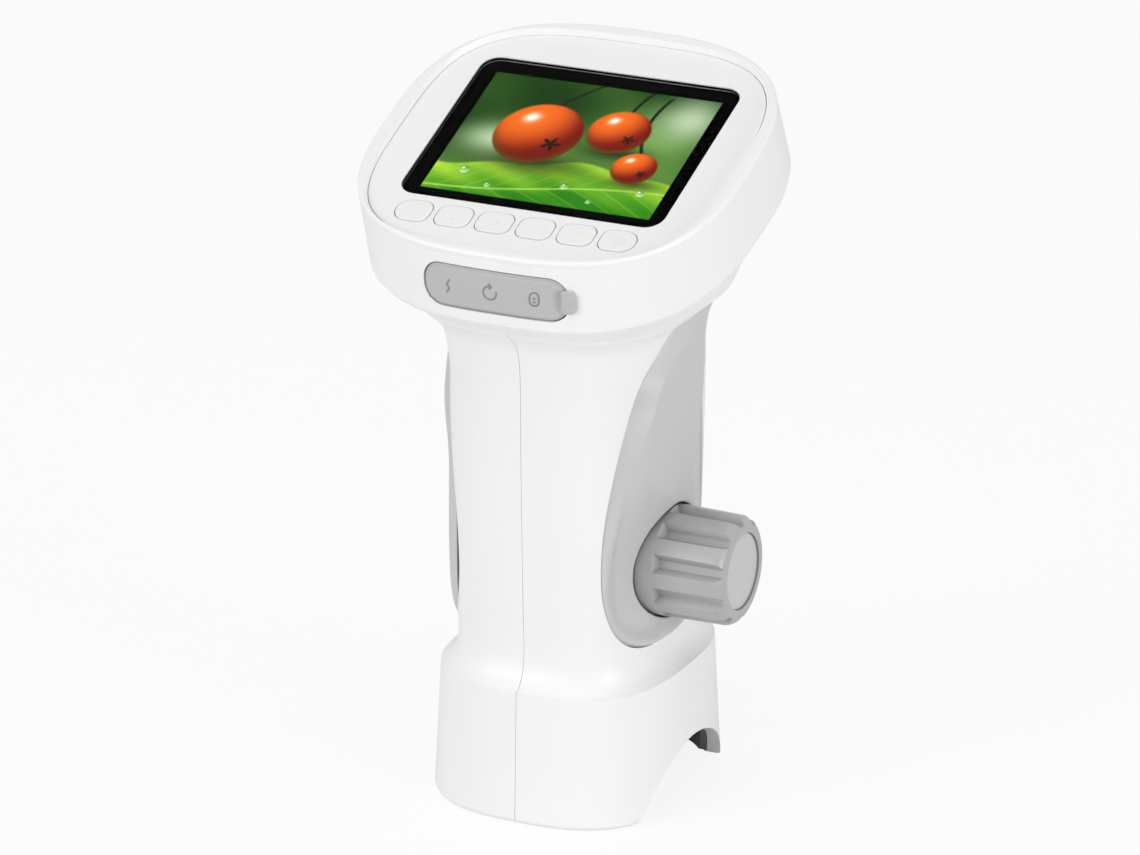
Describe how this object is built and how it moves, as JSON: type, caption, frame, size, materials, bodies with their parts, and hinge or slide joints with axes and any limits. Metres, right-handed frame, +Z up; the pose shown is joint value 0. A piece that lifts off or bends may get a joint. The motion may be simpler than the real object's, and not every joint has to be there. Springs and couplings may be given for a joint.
{
  "type": "lcd digital microscope",
  "caption": "Handheld digital microscope with a tilted colour screen, a ribbed focus knob, a port cover and an arched light hood for a foot.",
  "frame": {"origin": "centre of the foot's rim on the surface that it stands on", "axes": "+Z up along the optical axis, -Y to the front where the screen's keys and the port cover are, +X to the focus knob"},
  "size_m": [0.0652, 0.0638, 0.1236],
  "materials": {
    "shell_white": "satin",
    "panel_grey": "matte",
    "knob_grey": "matte",
    "cover_grey": "matte",
    "face_white": "satin",
    "key_white": "satin",
    "clear_glass": "polished",
    "mask_black": "gloss",
    "lcd_panel": "gloss",
    "black_plastic": "matte",
    "dark_liner": "matte",
    "board_green": "satin",
    "chip_black": "matte",
    "steel": "brushed",
    "brass": "satin",
    "black_metal": "anodised",
    "diffuser_white": "translucent",
    "led_yellow": "gloss",
    "battery_silver": "satin",
    "bush_white": "satin"
  },
  "bodies": {
    "housing": {"body_shell_left": "shell_white", "body_shell_right": "shell_white", "case_screws": "steel", "side_panel_left": "panel_grey", "side_panel_right": "panel_grey", "head_shell": "shell_white", "face_plate": "face_white", "key_switches": "chip_black", "key_board": "board_green", "screen_lens": "clear_glass", "screen_mask": "mask_black", "lcd_display": "lcd_panel", "lcd_tray": "steel", "main_board": "board_green", "board_screws": "steel", "board_chips": "chip_black", "usb_socket": "steel", "card_socket": "steel", "reset_switch": "chip_black", "battery": "battery_silver", "shaft_bush": "bush_white", "knob_washer": "bush_white", "guide_rods": "steel", "optics_chassis": "black_plastic", "light_baffle": "black_plastic", "sensor_board": "board_green", "image_sensor": "chip_black", "light_shroud": "dark_liner", "led_board": "board_green", "leds": "led_yellow", "light_diffuser": "diffuser_white"},
    "focus_drive": {"focus_knob": "knob_grey", "knob_cap": "knob_grey", "knob_screw": "steel", "focus_shaft": "steel", "focus_pinion": "brass"},
    "lens_carriage": {"focus_carriage": "black_plastic", "focus_rack": "brass", "lens_barrel": "black_metal", "front_lens": "clear_glass", "rear_lens": "clear_glass", "lens_retainer": "black_metal"},
    "power_key": {"power_key": "key_white"},
    "menu_key": {"menu_key": "key_white"},
    "up_key": {"up_key": "key_white"},
    "down_key": {"down_key": "key_white"},
    "playback_key": {"playback_key": "key_white"},
    "capture_key": {"capture_key": "key_white"},
    "port_cover": {"port_cover": "cover_grey"},
    "reset_pin": {"reset_pin": "black_plastic"}
  },
  "joints": [
    {"name": "knob_turn", "type": "hinge", "parent": "housing", "child": "focus_drive", "pos_m": [0.017, 0, 0.0412], "axis": [1, 0, 0], "range_deg": [-85.94, 85.94]},
    {"name": "carriage_slide", "type": "slide", "parent": "housing", "child": "lens_carriage", "axis": [0, 0, 1], "range_m": [-0.006, 0.006]},
    {"name": "power_key_press", "type": "slide", "parent": "housing", "child": "power_key", "axis": [0, 0.3827, -0.9239], "range_m": [0, 0.0004], "stiffness_N_per_m": 300},
    {"name": "menu_key_press", "type": "slide", "parent": "housing", "child": "menu_key", "axis": [0, 0.3827, -0.9239], "range_m": [0, 0.0004], "stiffness_N_per_m": 300},
    {"name": "up_key_press", "type": "slide", "parent": "housing", "child": "up_key", "axis": [0, 0.3827, -0.9239], "range_m": [0, 0.0004], "stiffness_N_per_m": 300},
    {"name": "down_key_press", "type": "slide", "parent": "housing", "child": "down_key", "axis": [0, 0.3827, -0.9239], "range_m": [0, 0.0004], "stiffness_N_per_m": 300},
    {"name": "playback_key_press", "type": "slide", "parent": "housing", "child": "playback_key", "axis": [0, 0.3827, -0.9239], "range_m": [0, 0.0004], "stiffness_N_per_m": 300},
    {"name": "capture_key_press", "type": "slide", "parent": "housing", "child": "capture_key", "axis": [0, 0.3827, -0.9239], "range_m": [0, 0.0004], "stiffness_N_per_m": 300},
    {"name": "port_cover_hinge", "type": "hinge", "parent": "housing", "child": "port_cover", "pos_m": [-0.01215, -0.03032, 0.09459], "axis": [0, 0.1208, -0.9927], "range_deg": [0, 100]},
    {"name": "reset_press", "type": "slide", "parent": "housing", "child": "reset_pin", "axis": [0, 0.9239, 0.3827], "range_m": [0, 0.00025], "stiffness_N_per_m": 300}
  ],
  "couplings": [
    {"joint": "knob_turn", "follows": "carriage_slide", "rad_per_m": -250}
  ]
}
